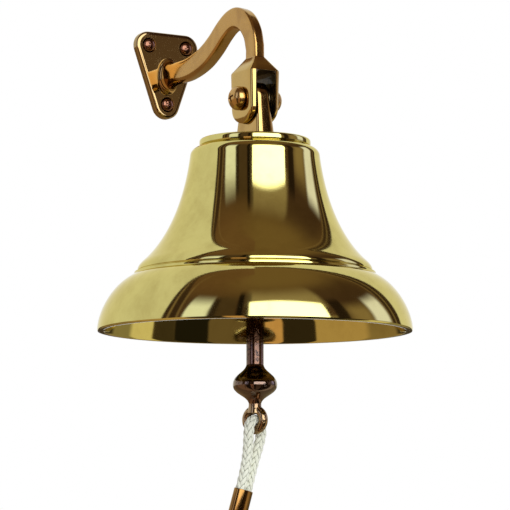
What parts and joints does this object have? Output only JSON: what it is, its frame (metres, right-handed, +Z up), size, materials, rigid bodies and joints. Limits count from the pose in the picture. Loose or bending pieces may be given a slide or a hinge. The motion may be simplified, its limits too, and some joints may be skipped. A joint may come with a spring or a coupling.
{
  "type": "ship bell",
  "caption": "Brass ship's bell hung from the fork of a swan-neck wall bracket, with a clapper on a chain link and a doubled cord lanyard ending in a metal sleeve",
  "frame": {"origin": "centre of the wall plate's flat back face, which lies against the wall", "axes": "+Z is up, +Y points into the wall and is the back face's normal, +X runs along the wall to the right as seen from in front; the bell hangs towards -Y and its hinge pin lies along X"},
  "size_m": [0.2, 0.224, 0.3697],
  "materials": {
    "bell_brass": "mirror-polished yellow brass with a faint lathe grain",
    "bracket_brass": "polished cast brass, warmer and slightly duller than the bell",
    "red_bronze": "dark reddish bronze with a worn shine",
    "dull_brass": "unpolished, slightly tarnished brass",
    "sleeve_brass": "satin drawn metal tube with long streaks, brown-gold",
    "white_cord": "white braided synthetic cord"
  },
  "bodies": {
    "bracket": {"wall_bracket": "bracket_brass", "wall_screw_left": "red_bronze", "wall_screw_right": "red_bronze", "wall_screw_bottom": "red_bronze", "hinge_bolt": "bracket_brass", "hinge_nut": "bracket_brass", "hinge_washer_left": "dull_brass", "hinge_washer_right": "dull_brass"},
    "bell": {"bell_shell": "bell_brass", "crown_lug": "bracket_brass", "clapper_eye_bolt": "dull_brass", "crown_washer": "dull_brass", "crown_nut": "dull_brass"},
    "link": {"clapper_link": "dull_brass"},
    "clapper": {"clapper": "red_bronze"},
    "lanyard": {"lanyard_cord": "white_cord", "lanyard_sleeve": "sleeve_brass"}
  },
  "joints": [
    {"name": "bell_swing", "type": "hinge", "parent": "bracket", "child": "bell", "pos_m": [0, -0.124, -0.035], "axis": [1, 0, 0], "range_deg": [-60, 9]},
    {"name": "link_swing", "type": "hinge", "parent": "bell", "child": "link", "pos_m": [0, -0.124, -0.091], "axis": [1, 0, 0], "range_deg": [-12, 12]},
    {"name": "clapper_swing", "type": "hinge", "parent": "link", "child": "clapper", "pos_m": [0, -0.124, -0.1064], "axis": [0, 1, 0], "range_deg": [-42, 42]},
    {"name": "lanyard_swing", "type": "hinge", "parent": "clapper", "child": "lanyard", "pos_m": [0, -0.124, -0.2397], "axis": [-0.9063, -0.4226, 0], "range_deg": [-75, 75]}
  ]
}
